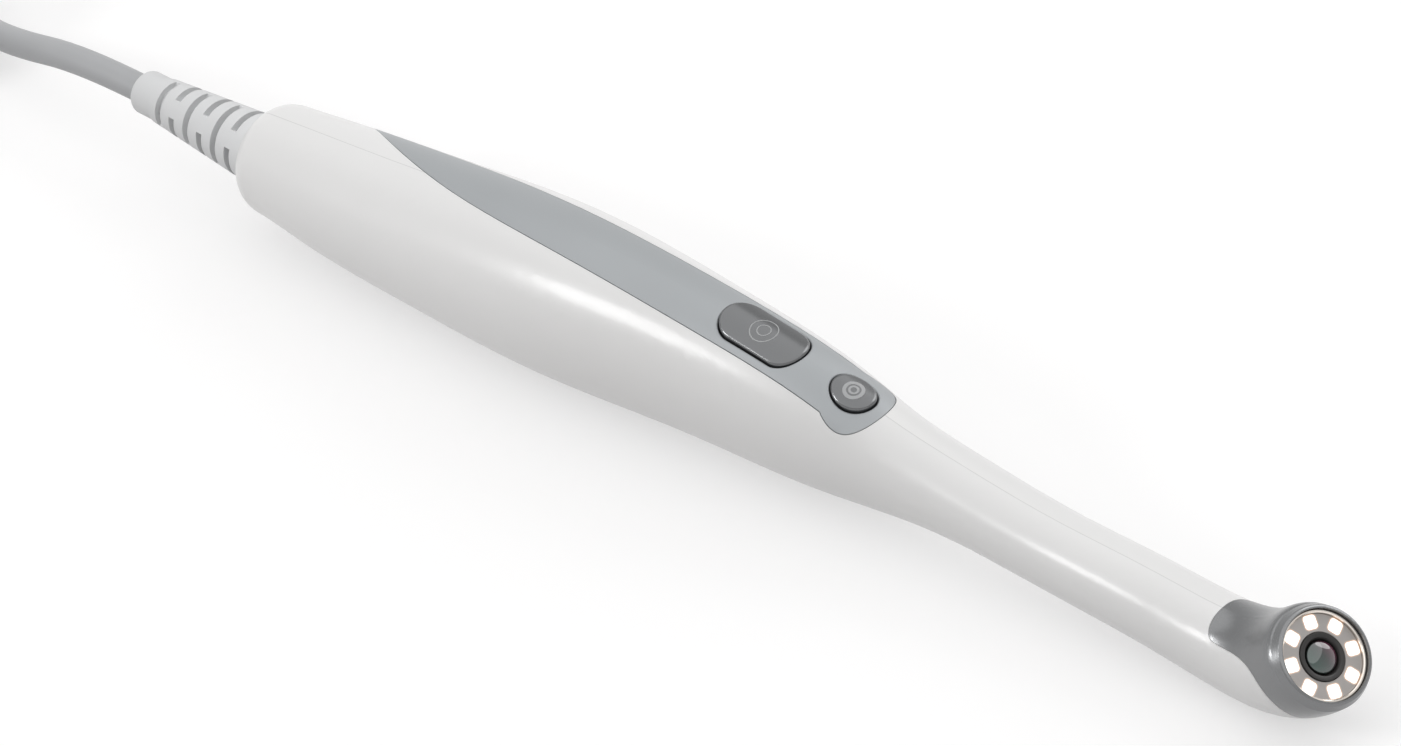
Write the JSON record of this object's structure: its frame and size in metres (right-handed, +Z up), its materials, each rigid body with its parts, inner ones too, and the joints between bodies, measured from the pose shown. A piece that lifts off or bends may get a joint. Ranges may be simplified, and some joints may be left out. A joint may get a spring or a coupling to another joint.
{
  "type": "intraoral camera",
  "caption": "Pen-shaped intraoral camera: white handle with grey top panel and push buttons, tilted lens head in a ring of lamps, slotted strain relief and tied lead with plug.",
  "frame": {"origin": "below the middle of the wand with its strain relief, on the table", "axes": "+X along the wand to the lens head, +Z up, out of the button side"},
  "size_m": [0.3812, 0.0379, 0.0245],
  "materials": {
    "white_shell": "smooth white, satin to glossy",
    "panel": "satin cool grey",
    "cap": "satin metallic grey",
    "button": "metallic grey, bevelled",
    "bright_ring": "polished",
    "window": "frosted, warm where the lamps shine through",
    "lamp_board": "white solder mask",
    "lamp": "lit, warm white",
    "barrel": "black, fine turned",
    "lens": "coated glass",
    "chip": "black moulded",
    "board": "green solder mask",
    "flat_cable": "amber film",
    "switch": "black",
    "connector": "ivory",
    "steel": "bright",
    "relief": "light grey, matt",
    "cord": "mid grey, matt",
    "wire": "insulated",
    "plug": "mid grey, matt",
    "contact_block": "white",
    "tie": "black hook-and-loop strap"
  },
  "bodies": {
    "wand": {"left_housing": "white_shell", "right_housing": "white_shell", "top_panel": "panel", "head_cap": "cap", "bezel_ring": "bright_ring", "light_window": "window", "lamp_board": "lamp_board", "lamps": "lamp", "lens_barrel": "barrel", "front_lens": "lens", "lens_spacer": "barrel", "rear_lens": "lens", "lens_holder": "barrel", "image_sensor": "chip", "sensor_board": "board", "sensor_cable": "flat_cable", "button_board": "board", "capture_switch": "switch", "power_switch": "switch", "main_board": "board", "processor": "chip", "memory": "chip", "cord_connector": "connector", "cable_connector": "connector", "board_screws": "steel", "strain_relief": "relief", "cord_end": "cord", "cord_clamp": "steel", "lead_wires": "wire", "cord": "cord", "cord_coil": "cord", "cord_tail": "cord", "cord_tie": "tie", "plug_body": "plug", "plug_shell": "steel", "plug_contacts": "contact_block"},
    "capture_button": {"capture_button": "button"},
    "power_button": {"power_button": "button"}
  },
  "joints": [
    {"name": "capture_press", "type": "slide", "parent": "wand", "child": "capture_button", "axis": [-0.165, 0, -0.9863], "range_m": [0, 0.0003], "stiffness_N_per_m": 3000},
    {"name": "power_press", "type": "slide", "parent": "wand", "child": "power_button", "axis": [-0.2521, 0, -0.9677], "range_m": [0, 0.0003], "stiffness_N_per_m": 3000}
  ]
}
